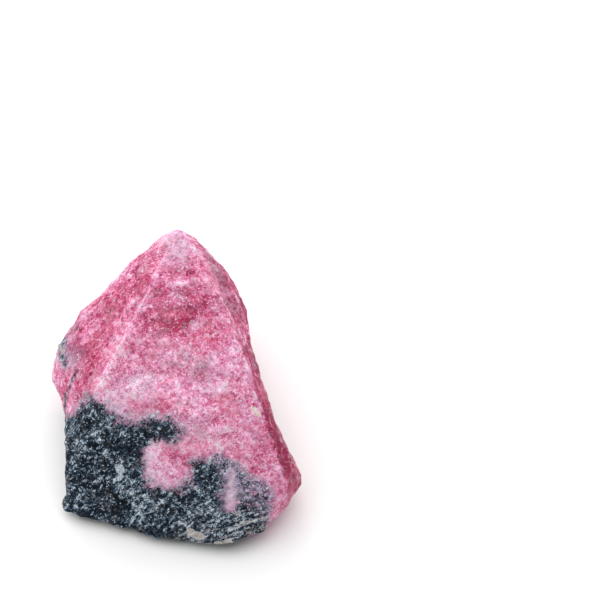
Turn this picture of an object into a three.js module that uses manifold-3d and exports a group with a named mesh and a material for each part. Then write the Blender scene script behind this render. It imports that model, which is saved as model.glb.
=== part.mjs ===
// A rough, broken lump of rose-pink mineral, lying on its flattest side.
// Millimetres, +Z up. The origin is the middle of the base of its bounding box.
// -Y is the long, gently domed front, +X is to the right of it, and the peak stands at the back.
import * as THREE from 'three';
import { ConvexGeometry } from 'three/addons/geometries/ConvexGeometry.js';
import { mergeVertices } from 'three/addons/utils/BufferGeometryUtils.js';
import Module from 'manifold-3d';

// Driving dimensions: the lump's size over its corners.
const WIDTH = 48.5;
const DEPTH = 62.5;
const HEIGHT = 34;

// How finely the ball that cuts a hollow is divided.
const CUTTER_DETAIL = 14;

const STONE_COLOUR = new THREE.Color(0.78, 0.35, 0.48);

// The lump's corners, as [across, back, up] in percent of half the width, half the depth and the height.
const CORNERS = {
  // The peak, and the brow that falls from it on each side.
  peak: [3, 63, 100],
  peakLeft: [-8, 62, 97],
  peakRight: [14, 61, 96],
  browLeft: [-11, 46, 95],
  browRight: [26, 50, 93],

  // The two ribs that bound the front face, from the brow down.
  leftRibTop: [-25, 14, 88],
  leftRibMiddle: [-39, -6, 79],
  leftRibLow: [-52, -26, 68],
  leftRibFoot: [-60, -37, 58],
  rightRibTop: [39, 16, 86],
  rightRibMiddle: [56, -13, 75],
  rightRibLow: [70, -40, 60],
  rightRibFoot: [83, -64, 42],
  rightToe: [87, -77, 29],

  // The swell of the front face.
  belly: [0, -43, 65],
  bellyRight: [39, -54, 57],
  bellyLow: [2, -74, 37],

  // The right flank, below its rib.
  rightShoulder: [43, 50, 74],
  rightFlank: [58, 26, 66],
  rightHeel: [100, -65, 19],
  rightHeelFront: [91, -77, 12],

  // The left flank and the lobe that stands out behind it.
  leftShoulder: [-46, 48, 75],
  leftSlope: [-65, 38, 63],
  leftBrink: [-88, 27, 48],
  leftEdge: [-96, 20, 43],
  leftLobe: [-100, 8, 32],
  leftBulge: [-82, -43, 32],
  leftBulgeLow: [-84, -56, 19],
  leftToe: [-84, -74, 5],

  // The lip along the bottom of the front face.
  lipLeft: [-40, -87, 5],
  lipMiddle: [-12, -94, 5],
  lipRight: [43, -100, 8],
  lipCorner: [70, -94, 11],

  // The steep back.
  backTop: [6, 78, 74],
  backTopLeft: [-22, 74, 68],
  backMiddle: [-8, 100, 24],
  backLeft: [-58, 84, 20],
  backFarLeft: [-88, 50, 18],
  backRight: [34, 88, 24],

  // The flat patch that it lies on.
  baseFrontLeft: [-70, -70, 0],
  baseFrontRight: [33, -92, 0],
  baseRightToe: [77, -70, 0],
  baseRight: [72, 0, 0],
  baseBackRight: [46, 66, 0],
  baseBack: [-2, 88, 0],
  baseBackLeft: [-54, 74, 0],
  baseLeft: [-84, 24, 0],
  baseLeftFront: [-76, -38, 0],
};

// Shell-shaped hollows that breaking left: where each one's floor lies, in the same percentages,
// the way its mouth faces, and its radius in millimetres.
const HOLLOWS = {
  leftNotch: { floor: [-83, -24, 26], faces: [-1, -0.2, -0.1], radius: 26 },
  leftFlank: { floor: [-60, 8, 63], faces: [-0.65, -0.05, 0.75], radius: 70 },
  rightFlank: { floor: [76, -28, 40], faces: [1, 0.35, 0.1], radius: 90 },
  rightBack: { floor: [38, 57, 50], faces: [0.85, 0.5, 0.2], radius: 50 },
  leftBack: { floor: [-43, 71, 45], faces: [-0.55, 0.75, 0.4], radius: 45 },
};

function place([across, back, up]) {
  return new THREE.Vector3(
    (across / 100) * (WIDTH / 2),
    (back / 100) * (DEPTH / 2),
    (up / 100) * HEIGHT,
  );
}

const wasm = await Module();
wasm.setup();

// A closed three.js geometry as a solid that can be cut.
function solidOf(geometry) {
  const bare = geometry.clone();
  bare.deleteAttribute('normal');
  bare.deleteAttribute('uv');
  const merged = mergeVertices(bare, 1e-4);
  const mesh = new wasm.Mesh({
    numProp: 3,
    vertProperties: merged.attributes.position.array,
    triVerts: new Uint32Array(merged.index.array),
  });
  return new wasm.Manifold(mesh);
}

// A cut solid back as a three.js geometry.
function geometryOf(solid) {
  const mesh = solid.getMesh();
  const geometry = new THREE.BufferGeometry();
  geometry.setAttribute('position', new THREE.BufferAttribute(mesh.vertProperties, 3));
  geometry.setIndex(new THREE.BufferAttribute(mesh.triVerts, 1));
  return geometry;
}

// The ball whose surface dips into the lump as one hollow.
function cutterOf({ floor, faces, radius }) {
  const outward = new THREE.Vector3(...faces).normalize();
  const ball = new THREE.IcosahedronGeometry(radius, CUTTER_DETAIL);
  return ball.translate(...place(floor).addScaledVector(outward, radius));
}

let lump = solidOf(new ConvexGeometry(Object.values(CORNERS).map(place)));
for (const hollow of Object.values(HOLLOWS)) {
  lump = lump.subtract(solidOf(cutterOf(hollow)));
}

const stone = new THREE.Mesh(
  geometryOf(lump),
  new THREE.MeshStandardMaterial({
    color: STONE_COLOUR,
    roughness: 0.6,
    metalness: 0,
    flatShading: true,
  }),
);
stone.name = 'rough_stone';

const specimen = new THREE.Group();
specimen.add(stone);

export default specimen;
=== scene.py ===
"""A rough, broken lump of granular rose-pink mineral with blue-black masses, on a pale table.

The lump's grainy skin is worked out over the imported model's solid, then the table, the lights and
the camera are set around it. +X runs across the front, -Y is in front and +Z is up.
"""

import math

import bpy
import numpy as np
from bpy.props import FloatProperty, FloatVectorProperty, IntProperty, PointerProperty
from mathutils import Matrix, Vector


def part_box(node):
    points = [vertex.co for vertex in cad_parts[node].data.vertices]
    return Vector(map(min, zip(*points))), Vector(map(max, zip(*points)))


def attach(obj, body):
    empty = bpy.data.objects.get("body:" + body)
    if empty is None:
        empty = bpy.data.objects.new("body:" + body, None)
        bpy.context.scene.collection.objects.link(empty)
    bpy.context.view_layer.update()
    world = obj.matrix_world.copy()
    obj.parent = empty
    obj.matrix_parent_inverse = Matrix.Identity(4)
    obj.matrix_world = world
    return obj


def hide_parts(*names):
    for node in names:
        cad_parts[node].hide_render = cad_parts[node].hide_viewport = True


bl_info = {
    "name": "Rough pink mineral",
    "version": (1, 0, 0),
    "blender": (4, 5, 0),
    "location": "3D View > Sidebar > Mineral",
    "description": "Builds a rough lump of granular pink mineral over its packed solid",
    "category": "Add Mesh",
}

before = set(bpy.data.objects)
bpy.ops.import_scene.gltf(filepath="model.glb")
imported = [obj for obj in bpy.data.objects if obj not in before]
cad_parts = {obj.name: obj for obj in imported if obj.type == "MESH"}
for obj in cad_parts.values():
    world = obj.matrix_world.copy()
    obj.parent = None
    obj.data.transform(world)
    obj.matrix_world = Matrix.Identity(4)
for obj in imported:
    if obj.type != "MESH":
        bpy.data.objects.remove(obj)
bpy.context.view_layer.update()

SOLID = "rough_stone"
MM = 0.001

# The front's marks are placed on a plane that climbs towards the back at this angle: `across`
# is +X, `climb` runs up the plane and `out` stands off it.
CLIMB = math.radians(40)
CLIMB_AXIS = np.array([0.0, math.cos(CLIMB), math.sin(CLIMB)])
OUT_AXIS = np.array([0.0, -math.sin(CLIMB), math.cos(CLIMB)])


def unit(*xyz):
    """A direction of length 1."""
    return np.array(xyz) / np.linalg.norm(xyz)


# Which way the right flank faces, and the directions in which the rock split along its grain.
RIGHT_FACING = unit(0.9, 0.09, 0.42)
RIGHT_GRAIN = unit(0.32, -0.84, -0.44)
LEFT_GRAIN = unit(0.71, 0.40, 0.58)
LIP_GRAIN = unit(0.95, 0.25, 0.18)

# Sizes in the relief: the chips in millimetres, each with its share of the break slope, the
# broad swells, the ribs and the steps of the flanks, and the coarse grains.
CHIPS = ((9.0, 0.5), (4.0, 0.6), (1.9, 0.7))
SWELL_SIZE = 15 * MM
RIB_SIZE = 1.8 * MM
STEP_SPACING = 2.6 * MM
COARSE_GRAIN = 1.3 * MM

# Passes of settle that give the level which hollows are measured from, and the broad facing.
LEVEL_PASSES = 24
FACING_PASSES = 60

# Sizes in millimetres of the glints, the fine flakes and the larger crystals in the finish.
SPARK_SIZE = 0.32
FLAKE_SIZE = 0.36
CRYSTAL_SIZE = 1.3

# Where the two lights shine from, in metres, and what the camera looks at, in millimetres.
KEY_FROM = (-0.14, 0.44, 0.88)
BACK_FROM = (-0.25, 0.85, 0.5)
LOOKED_AT = (24.0, 20.0, 12.0)

# How many sectors the round table is divided into.
TABLE_SECTORS = 96

# Marks on the front, in millimetres: strokes with round ends, each from (across, climb) to
# (across, climb) with a half-width.
DARK_STROKES = {
    "shoulder": (-15.2, -2.5, -14.1, 1.1, 3.4),
    "left mass": (-16.3, -4.8, -14.5, -13, 6.4),
    "left edge": (-19, -4, -21, -16, 4.5),
    "bar": (-12.5, -1.3, -1.5, -1.8, 2),
    "bar end": (-1.8, -1.3, -0.2, -1.3, 2),
    "under the bar": (-9, -6, -9, -13, 4.2),
    "top of the left lobe": (-22.8, 15.4, -22.2, 14.8, 0.45),
    "left lobe": (-21.9, 12.4, -21.2, 11.2, 0.4),
    "lower band": (-15, -18.5, 11, -19, 6),
    "hump": (6.3, -9, 7, -13, 2.6),
    "under the island": (-5.4, -13.9, 4.6, -14.1, 1.9),
    "island top left": (-5.8, -4.8, -4.8, -3.4, 1.7),
    "island low left": (-6.6, -11.4, -5.2, -13, 1.8),
}
PINK_STROKES = {
    "island": (-0.8, -7.4, 0.2, -7.4, 4.3),
    "island top": (-3.2, -5, -1, -4.6, 1.8),
    "neck": (1.5, -5.2, 6.5, -2.4, 1.6),
    "streak": (11.5, -8.8, 11.3, -14, 0.9),
    "streak foot": (11, -12.4, 11.4, -14.6, 1.6),
    "toe": (20, -17, 21.5, -12, 2),
}
# Where grey, lilac and pink grains mix in fine layers.
MIXED_STROKES = {
    "right of the hump": (11, -11.5, 16.5, -15.5, 3.4),
    "hump's right side": (8.6, -7.4, 9.2, -12, 1.8),
    "slope": (9, -7.2, 16.5, -12.6, 1.8),
    "lip": (6, -20.5, 15, -18.5, 2.2),
    "left of the streak": (9, -9, 9, -15, 1.4),
    "below the streak": (10.5, -16.5, 13.5, -17.5, 1.6),
}

# Steps on the front: a line of (across, climb) points, the drop on its left, and how far the
# drop takes to fade, in millimetres.
SCARPS = {
    "left ridge": (((-15, 3.5), (-12.9, 7), (-11.6, 9.6), (-9.5, 14.8), (-7, 20)), 0.9, 5),
    "upper ridge": (((-7, 20), (-5.3, 23.6), (-2.4, 30)), 0.5, 4),
    "arch": (((8.5, 18), (6.6, 20.6), (4, 22), (0.5, 21.8), (-2, 20.2)), 0.3, 2.5),
    "brow": (((6.4, 31), (9.4, 24.4), (12.8, 17), (15.4, 10)), 0.5, 2.5),
}

# Bulges and hollows of the front's left edge: strokes with a height in millimetres.
BULGE_MARKS = {
    "left bulge": (-21.2, -3.6, -21.4, -8, 2, 1),
    "above the toe": (-21.8, -12, -21.6, -13.2, 1.5, -0.9),
    "toe": (-22.2, -15, -22, -16, 1.2, 0.3),
}

# Deeper or paler pink: strokes with a strength, positive for deep rose and negative for pale. The
# ridge strokes are paler partly from wear and partly as painted highlight, and the glint strokes
# are painted highlights.
ROSE_MARKS = {
    "arch": (-1.5, 20, 6.5, 21.5, 3, 0.17),
    "arch floor": (-2, 18.6, 3.6, 19.2, 1.4, 0.16),
    "arch heart": (2.8, 18.9, 3.4, 18.6, 1, 0.24),
    "arch lip": (-0.8, 17.6, 0.4, 17.8, 0.9, 0.2),
    "arch left foot": (-5.4, 19.4, -4.6, 19, 1.4, 0.34),
    "arch right foot": (6.2, 22.6, 7, 21.4, 1, 0.15),
    "crown left": (-0.8, 28, 0.4, 28, 1.1, 0.14),
    "crown right": (3.2, 28.4, 3.6, 28, 0.8, 0.14),
    "coral": (-2.6, 25.2, -1.4, 24.6, 1.3, 0.14),
    "left brow": (-6, 26.8, -4.8, 26, 0.9, 0.12),
    "left flank": (-16, 14, -7, 25, 3.6, 0.15),
    "left foot": (-18, 8, -15.5, 3, 1.6, 0.14),
    "under the ridge": (-14, 10, -12, 14, 1.6, -0.08),
    "left lobe": (-19.5, 12.4, -18, 10, 2, 0.12),
    "left brow of the lobe": (-18.6, 17, -17.2, 13.6, 1.8, 0.26),
    "middle": (-4.5, 16.2, -3.8, 15.8, 1, 0.12),
    "chin": (-6, 3.8, -1, 3.6, 1.2, 0.12),
    "over the bar": (-9, 1.6, -4, 1.4, 1.1, -0.14),
    "beside the shoulder": (-11.2, 3.8, -9.4, 2.8, 1, -0.3),
    "ridge foot": (-9.6, 8.4, -9, 4.8, 1.6, -0.1),
    "right slope": (12, -2, 17, -6, 2.4, -0.08),
    "island crown": (0.2, -5.2, 2.8, -5.6, 1.1, 0.24),
    "pale neck": (5, -3.2, 6.6, -2.6, 2, -0.3),
    "island right": (1.2, -6.2, 2.4, -6.8, 0.7, 0.06),
    "island left": (-3, -7.2, -2.6, -7.6, 0.6, 0.14),
    "island low": (0.6, -10.2, 1, -10, 0.7, 0.12),
    "right cheek": (8.6, 15, 9.6, 14.2, 1.2, 0.12),
    "right low": (15, -6, 18, -9, 2.2, 0.04),
    "pale band": (-5.5, 7.6, 9, 8, 2.2, -0.16),
    # Painted highlight down the left ridge, its palest stroke partly wear.
    "worn and highlit ridge": (-9.4, 15, -12.2, 8.2, 1.3, -0.26),
    "ridge highlight": (-5.6, 23, -9.4, 15, 1.4, -0.17),
    "upper ridge highlight": (-2.2, 30, -5.6, 23, 1.2, -0.13),
    "pale cheek": (-9, 13.6, -6.6, 12, 1, -0.16),
    "pale foot": (-12, 6.6, -9, 5.6, 1.6, -0.16),
    "pale crown": (1.6, 33.5, 1.9, 29.5, 2.2, -0.07),
    "right of the ridge": (2.8, 28, 3.4, 22, 2.6, 0.14),
    "below the arch": (4.6, 17.5, 5.4, 12.5, 2.6, 0.2),
    # Painted highlights: the glint strokes lighten the pink where light glints.
    "crown glints": (1.4, 26.6, 2.6, 26.2, 0.6, -0.16),
    "brow glints": (5.6, 27.8, 6.4, 27.2, 0.7, -0.16),
    "arch glints": (0.2, 24.2, 1.4, 23.8, 0.5, -0.18),
    "flake in the arch": (4.2, 18, 5.6, 18.8, 0.9, -0.34),
    "bright flake": (-2, 15.4, -1.2, 15.8, 0.7, -0.34),
    "left glints": (-6.9, 22.4, -6.1, 21.8, 0.8, -0.22),
    "pale middle": (1, 13.6, 6, 13.2, 1.6, -0.12),
    "right glints": (11.2, 14, 11.9, 13.4, 0.8, -0.2),
    "pale streak": (11.4, -8.8, 11.4, -15, 1.7, -0.4),
    "pale low": (5, 0.5, 12, -4, 4.2, -0.11),
    "right side": (13, 2, 14, 0, 2.4, 0.08),
    "pale island": (-2.6, -8.4, 1.2, -9, 3, -0.26),
    # Painted highlight along the right ridge.
    "right ridge highlight": (11, 20, 18, 2, 0.9, -0.1),
}
# Lilac-grey haze: strokes with a strength.
HAZE_MARKS = {
    "spot": (4.6, 10.2, 7.2, 10.8, 1.4, 0.8),
    "crown": (0.2, 34.5, 1.2, 31.5, 2.4, 0.75),
    "beside the shoulder": (-11.2, 3.8, -9.2, 2.6, 1.4, 1.3),
    "over the bar": (-9.5, 1.8, -3, 1.4, 1.2, 0.7),
    "middle": (-1, 13.5, 5, 12, 2, 0.45),
    "left lobe": (-21.5, 13, -19, 11, 2, 1),
    "streak": (11.4, -8.8, 11.4, -15, 1.7, 1),
    "brow": (7.5, 30, 11.5, 21, 1.2, 0.45),
    "flake": (4.2, 18, 5.6, 18.8, 1, 0.4),
    "island foot": (-3, -10.4, 2, -10.8, 1.2, 0.5),
    "left lip": (-3.6, -6, -4.6, -9, 1, 0.4),
}
# Paler or blacker areas in the dark mass: strokes with a strength, positive for pale.
ASH_MARKS = {
    "shoulder": (-16, 3.6, -14.4, 4.9, 0.9, 0.22),
    "under the shoulder": (-14, -1.4, -12.6, -1.8, 0.9, 0.16),
    "left": (-17, -4.2, -15.6, -5.2, 1, 0.16),
    "middle": (-12.2, -5, -11.2, -6.2, 0.9, 0.12),
    "low": (-6.8, -12.8, -6, -17, 1.8, 0.2),
    "low right": (0.5, -13.6, 5, -15.5, 1.8, 0.14),
    "right": (7.5, -13, 9.3, -18, 2, 0.26),
    "beside the hump": (9, -8.6, 9.4, -11, 1.2, 0.22),
    "low middle": (-2.4, -16.8, -1.2, -17.6, 1.2, 0.1),
    "shoulder hollow": (-16.6, 1.2, -14, 0.2, 1, -0.16),
    "first line": (-15.5, -3.6, -10.5, -3, 0.35, -0.3),
    "second line": (-10.5, -3, -5.5, -1.2, 0.35, -0.3),
    "left low": (-17, -12, -10, -14.5, 3, -0.14),
    "hump": (5.6, -9, 6.4, -11, 1.2, -0.14),
    "foot": (-8, -19.5, 2, -20.5, 1.4, -0.1),
    "under the bar": (-9.1, -3.6, -9.1, -7, 1.8, -0.14),
    "above the toe": (-14, -14.5, -12.4, -17.5, 1.8, -0.16),
    "below the island": (-5.8, -13.6, -4.6, -14.6, 1.3, 0.2),
    "neck": (1, -2.6, 2.4, -3.4, 0.9, -0.1),
}
# Mauve smudges in the pink: strokes with a strength.
SMUDGE_MARKS = {
    "left lobe": (-20.4, 14.4, -18, 12.6, 1.7, 0.85),
    "spot": (5.4, 10.4, 6.6, 10.2, 0.9, 0.45),
}
# Fine layers along the lower right lip: a stroke with a strength.
LIP_MARKS = {"lip": (4, -21.5, 17, -17.5, 3, 1)}
# The soft marks that reach the finish as they are, by the name of their pattern.
SOFT_MARKS = {"ash": ASH_MARKS, "haze": HAZE_MARKS, "lip": LIP_MARKS, "smudge": SMUDGE_MARKS}
# Pale flakes, and the thin dark vein down the left flank.
CREAM_STROKES = {
    "flake": (4.2, -20, 5.6, -20.4, 0.8),
    "second flake": (8.6, -21.9, 11, -21.5, 0.6),
    "left lobe": (-22.2, 13.9, -21.5, 13.2, 0.45),
}
VEIN_STROKES = {
    "upper": (-17.9, 9.9, -19, 7.8, 0.16),
    "middle": (-19, 7.8, -20.4, 5.2, 0.2),
    "lower": (-20.4, 5.2, -20.1, -0.5, 0.24),
}
# Pale round grains in the dark mass, and brassy grains in the pink: (across, climb, radius).
PALE_GRAINS = {
    "large": (-9.2, -8.1, 1.1),
    "below it": (-9.3, -9.7, 0.8),
    "small": (-7.2, -12.6, 0.55),
    "low": (3.4, -16.2, 0.45),
    "bright pair": (-3.3, 1.9, 0.4),
    "beside it": (-2.5, 2.5, 0.45),
}
BRASSY_GRAINS = {"one": (15.5, 2.8, 0.55), "two": (16.5, 2.1, 0.45)}

# Dark masses that show on the sides, the back and the underside: (x, y, z, radius).
FAR_DARK = {
    "back foot": (-9, 27, 5, 8.5),
    "back shoulder": (15, 20, 14, 4.8),
    "front foot": (-12, -20, 2, 13),
    "lip": (5, -27, 1, 8.5),
    "left side": (-22, -6, 5, 9),
    "left heel": (-24, 14, 2, 5),
    "crest": (-9, 23, 25, 3.2),
    "back streak": (3, 29, 14, 2.6),
    "streak end": (6.5, 27.5, 17, 2),
    "right heel": (21, 4, 1, 3.4),
}


def number(name, description, default, **unit_of_it):
    """One plain setting, or one with the unit or subtype that is given."""
    return FloatProperty(name=name, description=description, default=default, **unit_of_it)


def length(name, description, metres):
    """One length setting."""
    return number(name, description, metres, unit="LENGTH")


def angle(name, description, degrees):
    """One angle setting."""
    return number(name, description, math.radians(degrees), subtype="ANGLE")


def colour(name, description, default):
    """One colour setting."""
    return FloatVectorProperty(
        name=name,
        description=description,
        default=default,
        min=0.0,
        max=1.0,
        size=3,
        subtype="COLOR",
    )


class ShapeSettings(bpy.types.PropertyGroup):
    """How the lump's skin departs from its flat-faced solid."""

    steps: IntProperty(
        name="Steps", description="Squares along each edge of the skin's cube", default=128, max=128
    )
    seed: IntProperty(name="Seed", description="Picks the pattern of breaks and grains", default=7)
    edge_softness: length("Edge softness", "How far the rounding of an edge reaches", 0.3 * MM)
    swell: length("Swell", "Height of the broad, gentle swells", 0.4 * MM)
    break_slope: number("Break slope", "How steeply the chips lean, as height over length", 0.3)
    chip_depth: length("Chip depth", "Depth of the chips along sharp edges", 0.6 * MM)
    step_height: length("Step height", "Height of the steps down the right flank", 0.5 * MM)
    undercut: length("Undercut", "How far the foot is worn back at the table", 1.0 * MM)
    undercut_height: length("Undercut height", "How far up the foot is worn back", 2.5 * MM)
    streak_relief: length("Streak relief", "Height of the fine ribs along the flanks", 0.22 * MM)
    grain_relief: length("Grain relief", "How far coarse grains stand out", 0.18 * MM)


class FinishSettings(bpy.types.PropertyGroup):
    """Colours and grain sizes of the minerals."""

    milky: colour("Milky", "Palest, lilac-white grains", (0.87, 0.6, 0.76))
    pale_pink: colour("Pale pink", "Pale sugary grains", (0.83, 0.36, 0.565))
    rose: colour("Rose", "The common pink", (0.68, 0.168, 0.335))
    coral: colour("Coral", "Warmer patches in the pink", (0.74, 0.25, 0.33))
    deep_rose: colour("Deep rose", "Deep translucent patches", (0.5, 0.065, 0.155))
    crimson: colour("Crimson", "Deepest grains and cracks", (0.3, 0.022, 0.075))
    haze: colour("Haze", "Lilac-grey haze near the dark masses", (0.56, 0.42, 0.57))
    smoke: colour("Smoke", "Darker grains in the haze", (0.34, 0.2, 0.32))
    dusk: colour("Dusk", "Lilac-grey grains where pink and dark mix", (0.2, 0.175, 0.27))
    pearl: colour("Pearl", "The palest of the lilac-grey grains", (0.6, 0.53, 0.7))
    mauve: colour("Mauve", "Small mauve-grey specks in the pink", (0.3, 0.1, 0.19))
    black: colour("Black", "Blackest grains", (0.006, 0.01, 0.016))
    slate: colour("Slate", "Common dark grains", (0.02, 0.04, 0.067))
    steel: colour("Steel", "Grey-blue grains", (0.13, 0.195, 0.28))
    ice: colour("Ice", "Glints in the pink", (0.92, 0.8, 0.87))
    frost: colour("Frost", "Glints and pale grains", (0.7, 0.79, 0.86))
    cream: colour("Cream", "Flakes of quartz", (0.66, 0.61, 0.57))
    brass: colour("Brass", "The brassy grains", (0.72, 0.58, 0.4))
    grain: length("Grain", "Size of the pink grains", 0.6 * MM)
    dark_grain: length("Dark grain", "Size of the dark grains", 0.5 * MM)


class StageSettings(bpy.types.PropertyGroup):
    """Table, lights and camera."""

    table_colour: colour("Table", "Colour of the table", (0.83, 0.83, 0.825))
    table_radius: length("Table radius", "From the middle to the rim", 3.8)
    flat_radius: length("Flat radius", "How far out the table starts to rise", 0.6)
    rise: angle("Rise", "Slope of the table near its rim", 16)
    key_strength: number("Key strength", "Overhead light, in watts per square metre", 3.7)
    key_breadth: angle("Key breadth", "How wide the overhead light looks from the table", 110)
    back_strength: number("Back strength", "Low light from behind, in watts per square metre", 0.85)
    back_breadth: angle("Back breadth", "How wide the low light looks from the table", 45)
    sky: number("Sky", "Strength of the light from all round", 0.24)
    lens: number("Lens", "Focal length", 100.0, unit="CAMERA", subtype="DISTANCE_CAMERA")
    view_distance: length("View distance", "From the camera to what it looks at", 0.333)
    view_angle: angle("View angle", "How far above level the camera looks down from", 50)


# --- numbers on whole arrays ------------------------------------------------------------------


def scramble(cells, seed):
    """Repeatable random numbers from 0 to 1, one for each row of lattice indices: the indices and
    the seed times large odd numbers, joined by exclusive or and stirred by shifts, in 32 bits."""
    whole = cells.astype(np.int64).astype(np.uint32)
    stirred = whole[..., 0] * np.uint32(0x9E3779B1) ^ whole[..., 1] * np.uint32(0x85EBCA77)
    stirred = stirred ^ whole[..., 2] * np.uint32(0xC2B2AE3D)
    stirred = stirred ^ np.uint32((seed * 0x27D4EB2F + 0x165667B1) % 2**32)
    for shift, factor in ((15, 0x2C1B3C6D), (12, 0x297A2D39), (15, 0x9E3779B1)):
        stirred = (stirred ^ (stirred >> np.uint32(shift))) * np.uint32(factor)
    return (stirred ^ (stirred >> np.uint32(16))) / 2.0**32


def random_vectors(cells, seed):
    """Three random numbers from -1 to 1 for each lattice cell."""
    return np.stack([scramble(cells, seed + k) for k in range(3)], -1) * 2 - 1


def noise(points, size, seed):
    """Smooth random height from about -1 to 1.

    Each lattice corner has a random slope. The eight slopes round a point are followed to it
    and blended by 6t^5 - 15t^4 + 10t^3 of the point's place in its cell.
    """
    scaled = points / size
    corner = np.floor(scaled)
    inside = scaled - corner
    blend = inside**3 * (inside * (inside * 6 - 15) + 10)
    total = np.zeros(len(points))
    for offset in np.ndindex(2, 2, 2):
        step = np.array(offset)
        slope = random_vectors(corner + step, seed)
        weight = np.prod(np.where(step, blend, 1 - blend), -1)
        total += weight * np.sum(slope * (inside - step), -1)
    return total * 1.5


def layered_noise(points, size, octaves, seed, fade=0.5):
    """Noise summed over octaves: each is half the size of the last and `fade` times as high."""
    return sum(noise(points, size / 2**k, seed + 11 * k) * fade**k for k in range(octaves))


def noise_vectors(points, size, octaves, seeds):
    """Layered noise in several directions at once, each from its own seed."""
    return np.stack([layered_noise(points, size, octaves, seed) for seed in seeds], -1)


def nearby_cells(points, size, seed):
    """For each of the 27 lattice cells round every point, the step from the cell's scattered
    centre to the point, in cell sizes, and the cell's indices."""
    scaled = points / size
    home = np.floor(scaled)
    for offset in np.ndindex(3, 3, 3):
        cell = home + np.array(offset) - 1
        centre = cell + 0.5 + 0.42 * random_vectors(cell, seed)
        yield scaled - centre, cell


def chipped_faces(points, size, lean, bowl, seed):
    """Height of a surface from which chips were struck, in chip sizes.

    Every cell holds a chip: a plane with its own lean and level, plus a bowl of `bowl` times
    half the squared distance. The lowest chip rules, so shallow scoops meet in sharp ridges.
    """
    height = np.full(len(points), np.inf)
    for offset, cell in nearby_cells(points, size, seed):
        tilt = lean * random_vectors(cell, seed + 5)
        level = bowl * 0.25 * scramble(cell, seed + 9)
        chip = level + np.sum(tilt * offset, -1) + bowl / 2 * np.sum(offset**2, -1)
        height = np.minimum(height, chip)
    return height - bowl * 0.15


def smooth_step(value, low, high):
    """0 below low, 1 above high, and an S-shaped curve between them."""
    t = np.clip((value - low) / (high - low), 0, 1)
    return t * t * (3 - 2 * t)


def off_line(front, start, end):
    """The step to each point from the nearest place on the line between two places."""
    start = np.array(start)
    run = np.array(end) - start
    along = np.clip((front - start) @ run / (run @ run), 0, 1)
    return front - start - along[:, None] * run


def inside_strokes(front, strokes, rounding=0.0):
    """How far inside the nearest of several round-ended strokes each point is, in millimetres,
    negative outside. A stroke is every point within its half-width of its line.

    With a rounding r the strokes flow together where they meet, as r * log of the sum of
    exp(depth / r).
    """
    depths = [
        half_width - np.linalg.norm(off_line(front, ends[:2], ends[2:]), axis=1)
        for *ends, half_width in strokes.values()
    ]
    deepest = np.max(depths, axis=0)
    if not rounding:
        return deepest
    return deepest + rounding * np.log(np.sum(np.exp((depths - deepest) / rounding), axis=0))


def soft_marks(front, marks):
    """The sum of soft strokes. Each fades as exp(-(distance / half-width)^2) from its line."""
    total = np.zeros(len(front))
    for *ends, half_width, strength in marks.values():
        gap = np.linalg.norm(off_line(front, ends[:2], ends[2:]), axis=1)
        total += strength * np.exp(-((gap / half_width) ** 2))
    return total


# --- the grid over the lump --------------------------------------------------------------------


def cube_grid(steps):
    """Directions over a whole sphere and the squares between them.

    Each face of a cube is a grid of whole numbers, turned into tangents of equal angles, which
    keeps the squares nearly even. Points that two faces share are one point, so no seam is open.
    """
    ticks = np.arange(-steps, steps + 1, 2)
    a, b = np.meshgrid(ticks, ticks, indexing="ij")
    grids = []
    for axis in range(3):
        for side in (1, -1):
            face = np.stack([np.full_like(a, side * steps), side * a, b], -1)
            grids.append(np.roll(face, axis, axis=-1))
    stacked = np.stack(grids)
    points, where = np.unique(stacked.reshape(-1, 3), axis=0, return_inverse=True)
    where = where.reshape(stacked.shape[:3])
    lower, upper = where[:, :-1], where[:, 1:]
    squares = np.stack([lower[..., :-1], upper[..., :-1], upper[..., 1:], lower[..., 1:]], -1)
    directions = np.tan(points / steps * math.pi / 4)
    return directions, squares.reshape(-1, 4)


def triangles_of(obj):
    """Corner places of every triangle of a mesh, as an array of (triangle, corner, xyz)."""
    mesh = obj.data
    mesh.calc_loop_triangles()
    corners = np.empty(len(mesh.loop_triangles) * 3, np.int32)
    mesh.loop_triangles.foreach_get("vertices", corners)
    places = np.empty(len(mesh.vertices) * 3)
    mesh.vertices.foreach_get("co", places)
    return places.reshape(-1, 3)[corners].reshape(-1, 3, 3)


def reach(directions, triangles):
    """How far each direction goes from the origin before it leaves a closed solid.

    A direction is a mix of a triangle's corners. Where no share is negative it passes through
    that triangle, at 1 over the sum of the shares.
    """
    sides = triangles[np.abs(np.linalg.det(triangles)) > 1e-15]
    shares_of = np.linalg.inv(np.swapaxes(sides, 1, 2))
    far = np.empty(len(directions))
    for part in np.array_split(np.arange(len(directions)), len(directions) // 4096 + 1):
        shares = shares_of @ directions[part].T
        total = shares.sum(1)
        hit = (shares.min(1) > -1e-7 * np.abs(total)) & (total > 0)
        far[part] = np.max(np.where(hit, 1 / np.where(hit, total, 1), 0), 0)
    return far


def edges_of(squares):
    """Every edge between two grid points, once."""
    pairs = np.concatenate([squares[:, [k, (k + 1) % 4]] for k in range(4)])
    return np.unique(np.sort(pairs, axis=1), axis=0)


def settle(values, edges, passes):
    """Values moved half way to the mean of their neighbours', several times over."""
    first, second = edges.T
    count = len(values)
    neighbours = np.bincount(edges.ravel(), minlength=count)[:, None]
    for _ in range(passes):
        sums = [
            np.bincount(first, column[second], count) + np.bincount(second, column[first], count)
            for column in values.T
        ]
        values = (values + np.stack(sums, 1) / neighbours) / 2
    return values


def settle_passes(reach_wanted, spacing):
    """Passes of settle that spread a value that far: spreads add as squares, and a pass adds the
    square of half a grid step."""
    return int(round((2 * reach_wanted / spacing) ** 2))


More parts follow.
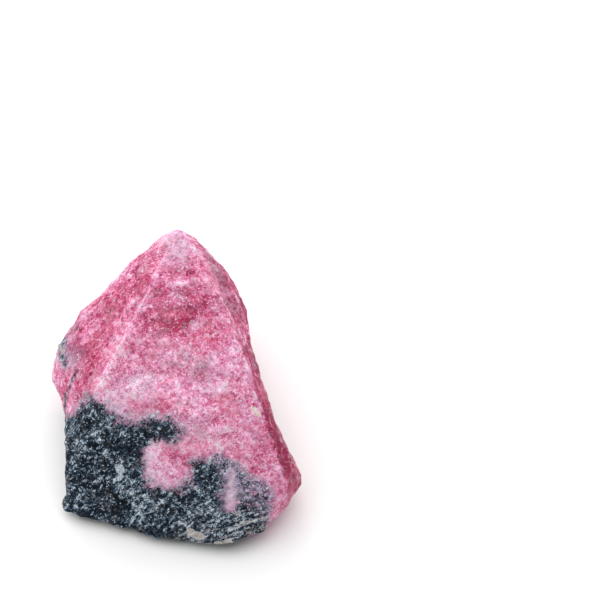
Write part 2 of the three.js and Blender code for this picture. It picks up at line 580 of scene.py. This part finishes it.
def normals_of(places, squares):
    """Outward unit normals at the grid points: the cross products of the squares' diagonals,
    added up at their corners."""
    corners = places[squares]
    facing = np.cross(corners[:, 2] - corners[:, 0], corners[:, 3] - corners[:, 1])
    sums = np.zeros_like(places)
    for corner in squares.T:
        for k in range(3):
            sums[:, k] += np.bincount(corner, facing[:, k], len(places))
    return sums / np.linalg.norm(sums, axis=1, keepdims=True)


def lump_surface(shape):
    """The bare lump: the solid's own faces on an even grid, with its edges worn round.

    Returns the places, the squares, the edges between points, and how sharp an edge each point
    was on, in metres worn away (negative in a hollow corner).
    """
    low, high = (np.array(corner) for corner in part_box(SOLID))
    centre = low + (high - low) * (0.5, 0.5, 0.36)
    directions, squares = cube_grid(shape.steps)
    directions = directions * np.where(directions < 0, centre - low, high - centre)
    directions /= np.linalg.norm(directions, axis=1, keepdims=True)
    far = reach(directions, triangles_of(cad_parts[SOLID]) - centre)
    crisp = centre + directions * far[:, None]
    edges = edges_of(squares)
    spacing = np.median(np.linalg.norm(crisp[edges[:, 0]] - crisp[edges[:, 1]], axis=1))
    worn = settle(crisp, edges, settle_passes(shape.edge_softness, spacing))
    wear = np.sum((crisp - worn) * normals_of(worn, squares), axis=1)
    return worn, squares, edges, wear


def flank_streaks(points, normals, seed):
    """Fine ribs along the flanks and the lower front, where the rock split along its grain.

    The ribs are noise drawn out tenfold along the flank, fading as the surface turns away.
    """
    flanks = (
        (unit(-0.66, -0.02, 0.75), LEFT_GRAIN, 0.86),
        (RIGHT_FACING, RIGHT_GRAIN, 0.8),
        (unit(0.15, -0.85, 0.5), LIP_GRAIN, 0.9),
    )
    total = np.zeros(len(points))
    for index, (facing, along, spread) in enumerate(flanks):
        drawn = points - 0.9 * (points @ along)[:, None] * along
        here = smooth_step(normals @ facing, spread, 1.0)
        total += here * layered_noise(drawn, RIB_SIZE, 2, seed + 40 + index, 0.6)
    return total


def broken_steps(points, normals, seed):
    """Steps down the right flank, 0 to 1: a slow rise and a quick fall across each step.

    They run along the flank. Noise bends them and makes some of them shallower.
    """
    across = np.cross(RIGHT_FACING, RIGHT_GRAIN)
    count = points @ across / STEP_SPACING + 0.7 * layered_noise(points, 9 * MM, 2, seed + 50)
    part = count - np.floor(count)
    tread = part - smooth_step(part, 0.7, 1.0)
    here = smooth_step(normals @ RIGHT_FACING, 0.72, 0.95)
    return here * tread * np.clip(0.6 + noise(points, 8 * MM, seed + 53), 0, 1)


def scarp(front, line, fade):
    """A step along a bent line on the front, falling to the left of the line as it is walked.

    The line's nearest piece gives the side and the distance, over which the drop fades from 1
    as exp(-(distance / fade)^2).
    """
    line = np.array(line)
    nearest = np.full(len(front), np.inf)
    drop = np.zeros(len(front))
    for start, end in zip(line[:-1], line[1:]):
        run = end - start
        gap = off_line(front, start, end)
        distance = np.linalg.norm(gap, axis=1)
        side = (run[0] * gap[:, 1] - run[1] * gap[:, 0]) / np.linalg.norm(run)
        here = smooth_step(side, -0.25, 0.25) * np.exp(-((distance / fade) ** 2))
        drop = np.where(distance < nearest, here, drop)
        nearest = np.minimum(nearest, distance)
    return drop


def relief(points, normals, wear, dark, shape):
    """How far the skin stands off the bare lump, in metres.

    Broad swells, three sizes of chips, the flanks' ribs and steps, and grains that are coarser
    in the dark masses are added up. Scarps drop the surface beside the front's ridges, and more
    chips are taken out of the sharp edges.
    """
    seed = shape.seed
    warped = points + 0.6 * MM * noise_vectors(points, 2.5 * MM, 1, range(seed, seed + 3))
    height = shape.swell * layered_noise(points, SWELL_SIZE, 2, seed + 1)
    for index, (size, share) in enumerate(CHIPS):
        chips = chipped_faces(warped, size * MM, 0.5, 1.0, seed + 2 + 13 * index)
        height += share * shape.break_slope * size * MM * chips
    height += shape.streak_relief * flank_streaks(warped, normals, seed)
    height += shape.step_height * broken_steps(warped, normals, seed)
    bend = noise_vectors(points, 4 * MM, 1, range(seed + 70, seed + 73))
    front = front_places(points + 0.5 * MM * bend)
    shown = smooth_step(normals @ OUT_AXIS, 0.0, 0.3)
    for line, depth, fade in SCARPS.values():
        height -= depth * MM * scarp(front, line, fade) * shown
    height += MM * soft_marks(front, BULGE_MARKS)
    on_edge = smooth_step(wear, 0.03 * MM, 0.16 * MM)
    chipped = smooth_step(layered_noise(warped, 2.2 * MM, 2, seed + 30), 0.0, 0.5)
    height -= shape.chip_depth * on_edge * chipped
    dark_share = smooth_step(dark, -0.6, 0.6)
    grains = layered_noise(points, COARSE_GRAIN, 1, seed + 5)
    height += shape.grain_relief * grains * (1 + 0.7 * dark_share)
    return height


def front_places(points):
    """Each point's (across, climb) on the front, in millimetres."""
    return np.stack([points[:, 0], points @ CLIMB_AXIS], -1) / MM


def dark_depth(points, normals, seed):
    """How far inside a dark mass each point is, in millimetres, negative in the pink.

    The front's strokes rule where the surface faces out of the front, and round masses rule
    elsewhere. Noise bends both outlines.
    """
    bend = noise_vectors(points, 5 * MM, 3, range(seed + 60, seed + 69, 3))
    front = front_places(points) + 0.8 * bend[:, :2]
    dark = inside_strokes(front, DARK_STROKES, 0.7)
    shown = np.minimum(dark, -inside_strokes(front, PINK_STROKES, 0.7))
    far = np.full(len(points), -np.inf)
    for x, y, z, radius in FAR_DARK.values():
        gap = np.linalg.norm(points / MM + 3.0 * bend - (x, y, z), axis=1)
        far = np.maximum(far, radius - gap)
    faces_out = smooth_step(normals @ OUT_AXIS, -0.05, 0.25)
    return far + (shown - far) * faces_out


def round_spots(front, spots):
    """How far inside the nearest of several round spots each point is, in millimetres."""
    rows = np.array(list(spots.values()))
    return np.max(rows[:, 2] - np.linalg.norm(front[:, None] - rows[:, :2], axis=2), axis=1)


def skin_marks(points, normals, wear, height, edges, shape):
    """Every pattern that follows the lump, one number for each point.

    The front's marks are pushed 6 mm outside themselves where the surface turns away from it.
    """
    seed = shape.seed
    bend = noise_vectors(points, 3 * MM, 3, range(seed + 80, seed + 86, 3))
    front = front_places(points) + 0.5 * bend
    shown = smooth_step(normals @ OUT_AXIS, 0.0, 0.3)
    gone = 6 * (1 - shown)
    level = settle(height[:, None], edges, LEVEL_PASSES)[:, 0]
    facing = settle(normals, edges, FACING_PASSES)
    facing = facing / np.linalg.norm(facing, axis=1, keepdims=True)
    right_flank = smooth_step(facing @ RIGHT_FACING + 0.05 * bend[:, 0], 0.72, 0.98)
    left_flank = smooth_step(facing @ unit(-0.68, -0.05, 0.73), 0.86, 0.97)
    # The lower right flank, where the deepened rose and painted shade are strongest.
    low_right = np.exp(-(((points[:, 1] / MM + 14) / 14) ** 2)) * right_flank
    mixed = np.minimum(inside_strokes(front, MIXED_STROKES), -inside_strokes(front, PINK_STROKES))
    rose = 0.05 * left_flank + soft_marks(front, ROSE_MARKS) * shown
    soft = {name: soft_marks(front, marks) * shown for name, marks in SOFT_MARKS.items()}
    return soft | {
        "dark": dark_depth(points, normals, seed),
        "mixed": mixed - gone,
        # The rose is deepened over the right flank, most on its lower part: partly the flank's own
        # deeper colour and partly painted shade.
        "rose": rose + 0.2 * right_flank + 0.34 * low_right,
        "left_flank": left_flank,
        "right_flank": right_flank,
        "cream": inside_strokes(front, CREAM_STROKES) - gone,
        "vein": inside_strokes(front, VEIN_STROKES) - gone,
        "pale": round_spots(front, PALE_GRAINS) - gone,
        "brass": round_spots(front, BRASSY_GRAINS) - gone,
        # Painted shade: the hollow pattern deepens the pink where the skin lies below its local
        # level.
        "hollow": np.clip((level - height) / (0.15 * MM), -1, 1),
        "edge": np.clip(wear / (0.2 * MM), -1, 1),
    }


def add_mesh(name, places, faces):
    """A smooth-shaded mesh object at the origin."""
    mesh = bpy.data.meshes.new(name)
    mesh.from_pydata(places.tolist(), [], faces)
    mesh.polygons.foreach_set("use_smooth", np.ones(len(faces), bool))
    mesh.update()
    piece = bpy.data.objects.new(name, mesh)
    bpy.context.scene.collection.objects.link(piece)
    return piece


def set_marks(mesh, marks):
    """Stores each pattern as an attribute of the mesh's points."""
    for name, values in marks.items():
        attribute = mesh.attributes.new(name, "FLOAT", "POINT")
        attribute.data.foreach_set("value", values.astype(np.float32))


# --- shaders -----------------------------------------------------------------------------------


class Wire:
    """The output of a shader node. Sums and products of wires and numbers add Math nodes."""

    def __init__(self, graph, socket):
        self.graph = graph
        self.socket = socket

    def __add__(self, other):
        return self.graph.maths("ADD", self, other)

    def __sub__(self, other):
        return self.graph.maths("SUBTRACT", self, other)

    def __rsub__(self, other):
        return self.graph.maths("SUBTRACT", other, self)

    def __mul__(self, other):
        return self.graph.maths("MULTIPLY", self, other)

    __radd__ = __add__
    __rmul__ = __mul__


class Graph:
    """The shader nodes of one material."""

    def __init__(self, name):
        self.material = bpy.data.materials.new(name)
        self.material.use_nodes = True
        self.tree = self.material.node_tree
        self.tree.nodes.clear()

    def node(self, kind, settings, values, output=None):
        """Adds a node: its settings first, then its sockets' values or links, by name in a dict
        or in order in a tuple. Returns the named output, or the first, as a wire."""
        made = self.tree.nodes.new(kind)
        for name, value in settings.items():
            if name == "stops":
                set_stops(made.color_ramp, value)
            else:
                setattr(made, name, value)
        ready = [socket for socket in made.inputs if socket.enabled]
        if isinstance(values, dict):
            pairs = [(next(s for s in ready if s.name == name), v) for name, v in values.items()]
        else:
            pairs = zip(ready, values)
        for socket, value in pairs:
            if isinstance(value, Wire):
                self.tree.links.new(value.socket, socket)
            elif socket.type == "RGBA":
                socket.default_value = (*value, 1.0)
            else:
                socket.default_value = value
        shown = [socket for socket in made.outputs if socket.enabled]
        if output:
            shown = [socket for socket in shown if socket.name == output]
        return Wire(self, shown[0]) if shown else None

    def maths(self, operation, *values):
        """A Math node."""
        return self.node("ShaderNodeMath", {"operation": operation}, values)

    def vector(self, operation, *values):
        """A Vector Math node."""
        return self.node("ShaderNodeVectorMath", {"operation": operation}, values)

    def ease(self, value, low, high):
        """0 below low, 1 above high, S-shaped between."""
        settings = {"interpolation_type": "SMOOTHSTEP"}
        return self.node("ShaderNodeMapRange", settings, (value, low, high))

    def mix(self, share, first, second):
        """First colour to second, by a share from 0 to 1."""
        return self.node("ShaderNodeMix", {"data_type": "RGBA"}, (share, first, second))

    def ramp(self, value, *stops):
        """Colours along a value: stops are (place, colour)."""
        return self.node("ShaderNodeValToRGB", {"stops": stops}, {"Fac": value})

    def mark(self, name):
        """A number stored on the mesh's points."""
        return self.node("ShaderNodeAttribute", {"attribute_name": name}, {}, "Fac")

    def noise(self, place, size, detail=3.0, roughness=0.6, output="Fac"):
        """Layered noise about 0.5, with bumps of a size in millimetres."""
        values = {"Vector": place, "Scale": 1 / size, "Detail": detail, "Roughness": roughness}
        return self.node("ShaderNodeTexNoise", {}, values, output)

    def cells(self, place, size, output="Color", feature="F1"):
        """Cells of a size in millimetres: their random colours, or the distance to the middle, or
        to the border with DISTANCE_TO_EDGE for the feature."""
        values = {"Vector": place, "Scale": 1 / size}
        return self.node("ShaderNodeTexVoronoi", {"feature": feature}, values, output)

    def channels(self, tint):
        """The three numbers of a colour."""
        first = self.node("ShaderNodeSeparateColor", {}, (tint,))
        return [Wire(self, socket) for socket in first.socket.node.outputs]

    def surface(self, values):
        """Ends the material in one Principled shader."""
        shader = self.node("ShaderNodeBsdfPrincipled", {}, values)
        self.node("ShaderNodeOutputMaterial", {}, {"Surface": shader})
        return self.material


def set_stops(scale, stops):
    """Fills a colour ramp with (place, colour) stops."""
    while len(scale.elements) < len(stops):
        scale.elements.new(0.5)
    for element, (place, tint) in zip(scale.elements, stops):
        element.position = place
        element.color = (*tint, 1)


def wander(graph, place, size, reach_out, shift):
    """A place in millimetres moved about by noise, so that cells lose their straight sides."""
    moved = graph.vector("ADD", place, (shift, 2.7 * shift, -1.3 * shift))
    wobble = graph.vector("SUBTRACT", graph.noise(moved, size, 2.0, 0.6, "Color"), (0.5, 0.5, 0.5))
    return graph.vector("ADD", place, graph.vector("SCALE", wobble, 2 * reach_out))


def drawn_out(graph, place, along, share):
    """A place with most of its run along a direction taken away, which draws a pattern out."""
    axis = along if isinstance(along, Wire) else tuple(along)
    run = graph.vector("DOT_PRODUCT", place, axis)
    return graph.vector("SUBTRACT", place, graph.vector("SCALE", axis, share * run))


def ribs(graph, place, along, size, share=0.88, roughness=0.6):
    """Noise drawn out along a direction, as ribs of a size in millimetres."""
    return graph.noise(drawn_out(graph, place, along, share), size, 3.0, roughness)


def cleaved(graph, place, size, share):
    """A place drawn out along each crystal's own direction, so that a pattern on it runs as
    cleavage does: straight within a crystal and broken at its border."""
    spin = graph.vector("SUBTRACT", graph.cells(place, size), (0.5, 0.5, 0.5))
    return drawn_out(graph, place, graph.vector("NORMALIZE", spin), share)


def pink_colour(graph, finish, place, feathery, dice, cleavage):
    """Sugary pink: a tone for every grain, drifting with cloudy patches and the placed marks.

    Ribs run down the flanks, some crystals have pale rims, and milky sugar, warmer coral and
    mauve specks are laid over the tone.
    """
    clouds = graph.noise(place, 7.0, 3.0, 0.55) + 0.5 * (graph.noise(place, 15.0, 1.0, 0.55) - 0.5)
    patches = graph.noise(feathery, 2.6, 5.0, 0.68)
    specks = graph.noise(place, 0.21, 2.0, 0.75)
    flakes = graph.channels(graph.cells(feathery, FLAKE_SIZE))
    crystals = graph.channels(graph.cells(feathery, CRYSTAL_SIZE))
    to_border = graph.cells(feathery, 0.9, "Distance", "DISTANCE_TO_EDGE")
    rims = 1 - graph.ease(to_border, 0.0, 0.07)
    left = ribs(graph, feathery, LEFT_GRAIN, 0.9, roughness=0.65)
    right = ribs(graph, feathery, RIGHT_GRAIN, 0.8, roughness=0.65)
    tone = (
        0.46
        + 1.15 * graph.mark("rose")
        + 1.0 * (clouds - 0.5)
        + 0.5 * (patches - 0.5)
        + 1.1 * (specks - 0.5)
        + 0.85 * (cleavage - 0.5)
        + 0.34 * (flakes[0] - 0.5)
        + 0.15 * (dice[0] - 0.5)
        + 0.2 * (crystals[0] - 0.5)
        - 0.16 * rims * graph.ease(crystals[2], 0.3, 0.6)
        # Painted shade: deeper tone in the hollows.
        + 0.1 * graph.mark("hollow")
        - 0.14 * graph.ease(graph.mark("edge"), 0.1, 0.8)
        + 1.1 * graph.mark("left_flank") * (left - 0.48)
        + 2.2 * graph.mark("right_flank") * (right - 0.48)
    )
    pink = graph.ramp(
        0.16 + 0.8 * tone,
        (0.0, finish.ice),
        (0.2, finish.milky),
        (0.38, finish.pale_pink),
        (0.56, finish.rose),
        (0.72, finish.deep_rose),
        (0.94, finish.crimson),
    )
    sugar = graph.ease(crystals[1] + 2.4 * (graph.noise(feathery, 1.4) - 0.5), 0.9, 1.1)
    pale_share = 0.5 * sugar * (1 - 0.85 * graph.mark("right_flank"))
    pale_share = pale_share * graph.ease(cleavage + 0.5 * (specks - 0.5), 0.3, 0.6)
    pink = graph.mix(pale_share, pink, finish.milky)
    warm = graph.ease(graph.noise(place, 5.0, 3.0, 0.55), 0.5, 0.66)
    pink = graph.mix(0.3 * warm, pink, finish.coral)
    moved = graph.vector("ADD", feathery, (31.0, 7.0, 13.0))
    smut = graph.ease(flakes[2] + 2.5 * (graph.noise(moved, 1.8, 3.0, 0.65) - 0.5), 1.0, 1.15)
    return graph.mix(0.45 * smut, pink, finish.mauve)


def dark_colour(graph, finish, place, feathery, cleavage, layered):
    """Blue-black grains, each with its own grey, in bent layers and sheaves.

    Larger pale plates, a network of pale threads and thin black joints run through them, and
    the lip has fine layers of its own.
    """
    slanted = drawn_out(graph, feathery, unit(0.75, 0.45, 0.4), 0.55)
    size = finish.dark_grain / MM
    dice = graph.channels(graph.cells(slanted, size))[1]
    gap = graph.cells(slanted, size, "Distance")
    flakes = graph.channels(graph.cells(slanted, FLAKE_SIZE))[2]
    plate_luck = graph.channels(graph.cells(slanted, CRYSTAL_SIZE))[0]
    plate_gap = graph.cells(slanted, CRYSTAL_SIZE, "Distance")
    plate = graph.ease(plate_luck, 0.7, 0.9) * graph.ease(0.6 - plate_gap, 0.0, 0.3)
    clusters = graph.noise(place, 3.0)
    bent = wander(graph, place, 6.0, 0.9, 9.0)
    layers = ribs(graph, bent, unit(0.85, 0.35, 0.3), 0.6)
    folds = ribs(graph, bent, unit(0.8, -0.4, -0.45), 0.7)
    specks = graph.noise(place, 0.2, 2.0, 0.75)
    web = graph.noise(slanted, 1.0)
    thread = 1 - graph.ease(graph.maths("ABSOLUTE", web - 0.5), 0.0, 0.04)
    joints = graph.noise(slanted, 1.7, 4.0, 0.65)
    joint = 1 - graph.ease(graph.maths("ABSOLUTE", joints - 0.5), 0.0, 0.035)
    sheaves = graph.noise(cleaved(graph, slanted, 2.6, 0.85), 0.5)
    value = (
        0.12
        + graph.mark("ash")
        + 0.25 * dice * dice
        + 0.6 * flakes * flakes * flakes
        + 0.26 * plate
        + 1.2 * (clusters - 0.5)
        + 1.5 * (layers - 0.5)
        + 1.2 * (folds - 0.5)
        + 2.1 * (specks - 0.5)
        + 1.9 * (cleavage - 0.5)
        + 1.5 * (sheaves - 0.5)
        + 2.6 * graph.mark("lip") * (layered - 0.47)
        + 0.16 * thread
        - 0.3 * joint
        - 0.15 * gap
    )
    return graph.ramp(
        value, (0.05, finish.black), (0.32, finish.slate), (0.64, finish.steel), (1.0, finish.frost)
    )


def mineral_material(finish):
    """Granular pink mineral with blue-black masses, from the lump's own place and its marks.

    Whether a grain is pink or dark is how deep in a dark mass it is plus its own luck, so that
    the border breaks up grain by grain. Over the pink lie, in order: the lilac veil, the mauve
    smudges, the mixed lilac grains, the dark masses, the lip's ledges, the cream flakes, the
    pale and the brassy grains, and the glints.
    """
    graph = Graph("granular_mineral")
    metres = graph.node("ShaderNodeTexCoord", {}, {}, "Object")
    place = graph.vector("SCALE", metres, 1 / MM)
    feathery = wander(graph, place, 0.8, 0.35, 1.0)
    size = finish.grain / MM
    tints = graph.cells(feathery, size)
    dice = graph.channels(tints)
    gap = graph.cells(feathery, size, "Distance")
    ragged = graph.noise(feathery, 1.8, 5.0, 0.65)

    crystalline = wander(graph, place, 1.2, 0.25, 3.0)
    cleavage = graph.noise(cleaved(graph, crystalline, 1.8, 0.78), 0.36, 3.0, 0.65)
    pink = pink_colour(graph, finish, place, feathery, dice, cleavage)
    layered = ribs(graph, place, LIP_GRAIN, 0.5, 0.9)
    dark = dark_colour(graph, finish, place, feathery, cleavage, layered)

    fine = graph.noise(place, 0.4, 2.0, 0.7)
    luck = 3.6 * (ragged - 0.5) + 0.6 * (dice[1] - 0.5) + 4.0 * (fine - 0.5)
    depth = graph.mark("dark") + luck
    veined = graph.maths("MAXIMUM", depth, 4 * graph.mark("vein") + 0.6 * luck)
    dark_share = graph.ease(veined, -0.9, 0.6)
    halo = graph.ease(graph.mark("dark") + 0.5 * luck, -2.2, 0.2)
    mist = graph.ease(graph.noise(place, 3.5, 4.0, 0.6), 0.52, 0.7)
    hazy = graph.maths("MINIMUM", 0.8 * halo + 0.6 * graph.mark("haze") + 0.4 * mist, 0.85)
    haze_share = hazy * graph.ease(ragged + 0.4 * (dice[2] - 0.5), 0.2, 0.55)
    mixed = graph.ease(graph.mark("mixed") + 0.5 * luck, -1.2, 0.6)
    blush = graph.ease(graph.noise(feathery, 2.4), 0.5, 0.62)
    lilac_tone = 0.66 + 2.4 * (cleavage - 0.5) + 2.6 * (fine - 0.5) + 0.5 * (dice[0] - 0.5)
    lilac = graph.ramp(lilac_tone, (0.05, finish.slate), (0.45, finish.dusk), (1.0, finish.pearl))
    sooty = graph.noise(feathery, 1.1, 4.0, 0.7) + 1.4 * (cleavage - 0.5)
    mixed_dark = mixed * graph.ease(sooty + 0.35 * (dice[2] - 0.5), 0.44, 0.68)

    veil_tone = 0.45 + 2.2 * (cleavage - 0.5) + 1.8 * (fine - 0.5)
    veil = graph.ramp(veil_tone, (0.0, finish.smoke), (0.45, finish.haze), (1.0, finish.ice))
    smudged = graph.mark("smudge") * graph.ease(fine + 1.5 * (cleavage - 0.5), 0.25, 0.65)
    ledges = graph.mark("lip") * graph.ease(layered + 0.3 * (fine - 0.5), 0.52, 0.62)
    cream_share = graph.ease(graph.mark("cream") + 2.5 * (ragged - 0.5), -0.1, 0.2)
    creamy = graph.ease(cleavage + 0.8 * (fine - 0.5), 0.24, 0.46)
    cream = graph.mix(creamy, finish.steel, finish.cream)
    pale_share = graph.ease(graph.mark("pale") + 0.5 * (fine - 0.5), -0.1, 0.25)
    pale = graph.mix(graph.ease(fine + cleavage - 0.5, 0.25, 0.6), finish.steel, finish.frost)
    brass_share = graph.ease(graph.mark("brass") + 2 * (ragged - 0.5), -0.05, 0.1)
    brassy = graph.mix(graph.ease(fine, 0.45, 0.6), finish.brass, finish.ice)
    # The glints are painted highlights: small pale spots mixed into the base colour, fewer on the
    # right flank.
    sparks = wander(graph, place, 0.4, 0.15, 5.0)
    spark_luck = graph.channels(graph.cells(sparks, SPARK_SIZE))[0]
    spark_gap = graph.cells(sparks, SPARK_SIZE, "Distance")
    glint = graph.ease(spark_luck, 0.86, 0.93) * graph.ease(0.5 - spark_gap, 0.08, 0.2)
    glint = glint * (1 - 0.55 * graph.mark("right_flank"))
    body = pink
    for share, tint in (
        (haze_share, veil),
        (smudged, finish.mauve),
        (0.9 * mixed * (1 - 0.6 * blush), lilac),
        (graph.maths("MAXIMUM", dark_share, mixed_dark), dark),
        (0.55 * ledges, finish.cream),
        (0.9 * cream_share, cream),
        (0.9 * pale_share, pale),
        (brass_share, brassy),
        (0.8 * glint, graph.mix(dark_share, finish.ice, finish.frost)),
    ):
        body = graph.mix(share, body, tint)

    relief = (
        0.09 * (0.6 - gap)
        + 0.1 * (dice[2] - 0.5)
        + 0.25 * graph.noise(feathery, 1.2, 4.0, 0.65)
        + 0.3 * cleavage
    ) * (1 + 1.2 * dark_share)
    bumped = graph.node("ShaderNodeBump", {}, {"Strength": 1.0, "Distance": MM, "Height": relief})
    tilt = graph.vector("SUBTRACT", tints, (0.5, 0.5, 0.5))
    tilted = graph.vector("ADD", bumped, graph.vector("SCALE", tilt, 0.5))
    return graph.surface(
        {
            "Base Color": body,
            "Roughness": 0.45 + 0.3 * (dice[2] - 0.5) - 0.2 * glint,
            "Normal": graph.vector("NORMALIZE", tilted),
            "Specular IOR Level": 0.05,
            "Coat Weight": graph.ease(dice[1], 0.65, 0.9),
            "Coat Roughness": 0.13,
            "Subsurface Weight": 0.1,
            "Subsurface Radius": (1.0, 0.4, 0.45),
            "Subsurface Scale": 0.8 * MM,
        }
    )


def table_material(stage):
    """Plain matt white card."""
    graph = Graph("table_card")
    values = {"Base Color": tuple(stage.table_colour), "Roughness": 0.75, "Specular IOR Level": 0.2}
    return graph.surface(values)


# --- operators ---------------------------------------------------------------------------------


class MINERAL_OT_stone(bpy.types.Operator):
    """Build the lump's grainy skin over its solid, with its finish"""

    bl_idname = "mineral.stone"
    bl_label = "Rough stone"

    def execute(self, context):
        shape = context.scene.mineral_shape
        bare, squares, edges, wear = lump_surface(shape)
        normals = normals_of(bare, squares)
        dark = dark_depth(bare, normals, shape.seed)
        height = relief(bare, normals, wear, dark, shape)
        # The face on the table is smoother, and drawn in a little so that it doesn't poke through.
        on_table = smooth_step(-normals[:, 2], 0.75, 0.98)
        height = height * (1 - 0.6 * on_table) - 0.1 * MM * on_table
        near_table = np.clip(1 - bare[:, 2] / shape.undercut_height, 0, 1)
        height -= shape.undercut * near_table**2 * (1 - on_table)
        places = bare + height[:, None] * normals
        low, high = (np.array(corner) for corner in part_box(SOLID))
        places = np.clip(places, low, high)
        if not np.isfinite(places).all():
            raise RuntimeError("The skin has points with no place")
        stone = add_mesh("stone_surface", places, squares.tolist())
        set_marks(stone.data, skin_marks(places, normals, wear, height, edges, shape))
        stone.data.materials.append(mineral_material(context.scene.mineral_finish))
        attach(stone, "root")
        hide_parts(SOLID)
        return {"FINISHED"}


def table_surface(stage):
    """A round table, flat in the middle, that rises like a shallow dish towards its rim.

    The profile is flat, then an arc that reaches the rise at a third of the way to the rim, then
    straight. It is turned round the vertical axis, and all sectors share one middle point.
    """
    arc_width = (stage.table_radius - stage.flat_radius) / 3
    bend = arc_width / math.sin(stage.rise)
    lean = np.linspace(0, stage.rise, 16)
    flat = np.geomspace(0.05, 1, 12)[:-1] * stage.flat_radius
    arc_up = bend * (1 - np.cos(lean))
    rim_up = arc_up[-1] + 2 * arc_width * math.tan(stage.rise)
    out = np.concatenate([flat, stage.flat_radius + bend * np.sin(lean), [stage.table_radius]])
    up = np.concatenate([0 * flat, arc_up, [rim_up]])
    here = np.arange(TABLE_SECTORS)
    turn = here * 2 * math.pi / TABLE_SECTORS
    profile = (out, np.cos(turn)), (out, np.sin(turn)), (up, np.ones(TABLE_SECTORS))
    rings = np.stack([np.outer(*pair) for pair in profile], -1)
    places = np.concatenate([rings.reshape(-1, 3), [[0, 0, 0]]])
    ring = np.arange(len(out))[:, None] * TABLE_SECTORS
    after = (here + 1) % TABLE_SECTORS
    squares = np.stack([ring[:-1] + here, ring[1:] + here, ring[1:] + after, ring[:-1] + after], -1)
    middle = np.stack([np.full(TABLE_SECTORS, len(places) - 1), here, after], -1)
    return places, squares.reshape(-1, 4).tolist() + middle.tolist()


def aim_at(obj, target):
    """Turns an object's -Z to a target, with +Y as near up as can be."""
    obj.rotation_euler = (Vector(target) - obj.location).to_track_quat("-Z", "Y").to_euler()


def add_far_light(name, strength, breadth, place):
    """A far, round light that shines from a place towards the table's middle."""
    data = bpy.data.lights.new(name, "SUN")
    data.energy = strength
    data.angle = breadth
    light = bpy.data.objects.new(name, data)
    light.location = place
    aim_at(light, (0, 0, 0))
    bpy.context.scene.collection.objects.link(light)


class MINERAL_OT_stage(bpy.types.Operator):
    """Set the table, the lights and the camera around the stone"""

    bl_idname = "mineral.stage"
    bl_label = "Table, lights and camera"

    def execute(self, context):
        scene = context.scene
        stage = scene.mineral_stage
        table = add_mesh("table", *table_surface(stage))
        table.data.materials.append(table_material(stage))

        world = bpy.data.worlds.new("pale_room")
        world.use_nodes = True
        background = world.node_tree.nodes["Background"]
        background.inputs["Color"].default_value = (1.0, 1.0, 1.0, 1.0)
        background.inputs["Strength"].default_value = stage.sky
        scene.world = world
        scene.view_settings.view_transform = "Standard"

        add_far_light("overhead_key", stage.key_strength, stage.key_breadth, KEY_FROM)
        add_far_light("back_light", stage.back_strength, stage.back_breadth, BACK_FROM)

        eye = bpy.data.cameras.new("camera")
        eye.lens = stage.lens
        eye.clip_start = 0.01
        eye.clip_end = 20
        camera = bpy.data.objects.new("camera", eye)
        target = np.array(LOOKED_AT) * MM
        back = np.array([0, -math.cos(stage.view_angle), math.sin(stage.view_angle)])
        camera.location = target + back * stage.view_distance
        aim_at(camera, target)
        scene.collection.objects.link(camera)
        scene.camera = camera
        return {"FINISHED"}


class MINERAL_PT_panel(bpy.types.Panel):
    """Buttons for the stone and its stage"""

    bl_label = "Rough pink mineral"
    bl_space_type = "VIEW_3D"
    bl_region_type = "UI"
    bl_category = "Mineral"

    def draw(self, context):
        for name in SETTINGS:
            settings = getattr(context.scene, name)
            for setting in settings.__annotations__:
                self.layout.prop(settings, setting)
        self.layout.operator("mineral.stone")
        self.layout.operator("mineral.stage")


SETTINGS = {
    "mineral_shape": ShapeSettings,
    "mineral_finish": FinishSettings,
    "mineral_stage": StageSettings,
}
CLASSES = (*SETTINGS.values(), MINERAL_OT_stone, MINERAL_OT_stage, MINERAL_PT_panel)


def register():
    for item in CLASSES:
        bpy.utils.register_class(item)
    for name, group in SETTINGS.items():
        setattr(bpy.types.Scene, name, PointerProperty(type=group))


def unregister():
    for name in SETTINGS:
        delattr(bpy.types.Scene, name)
    for item in reversed(CLASSES):
        bpy.utils.unregister_class(item)


def main():
    register()
    bpy.ops.mineral.stone()
    bpy.ops.mineral.stage()


if __name__ == "__main__":
    main()
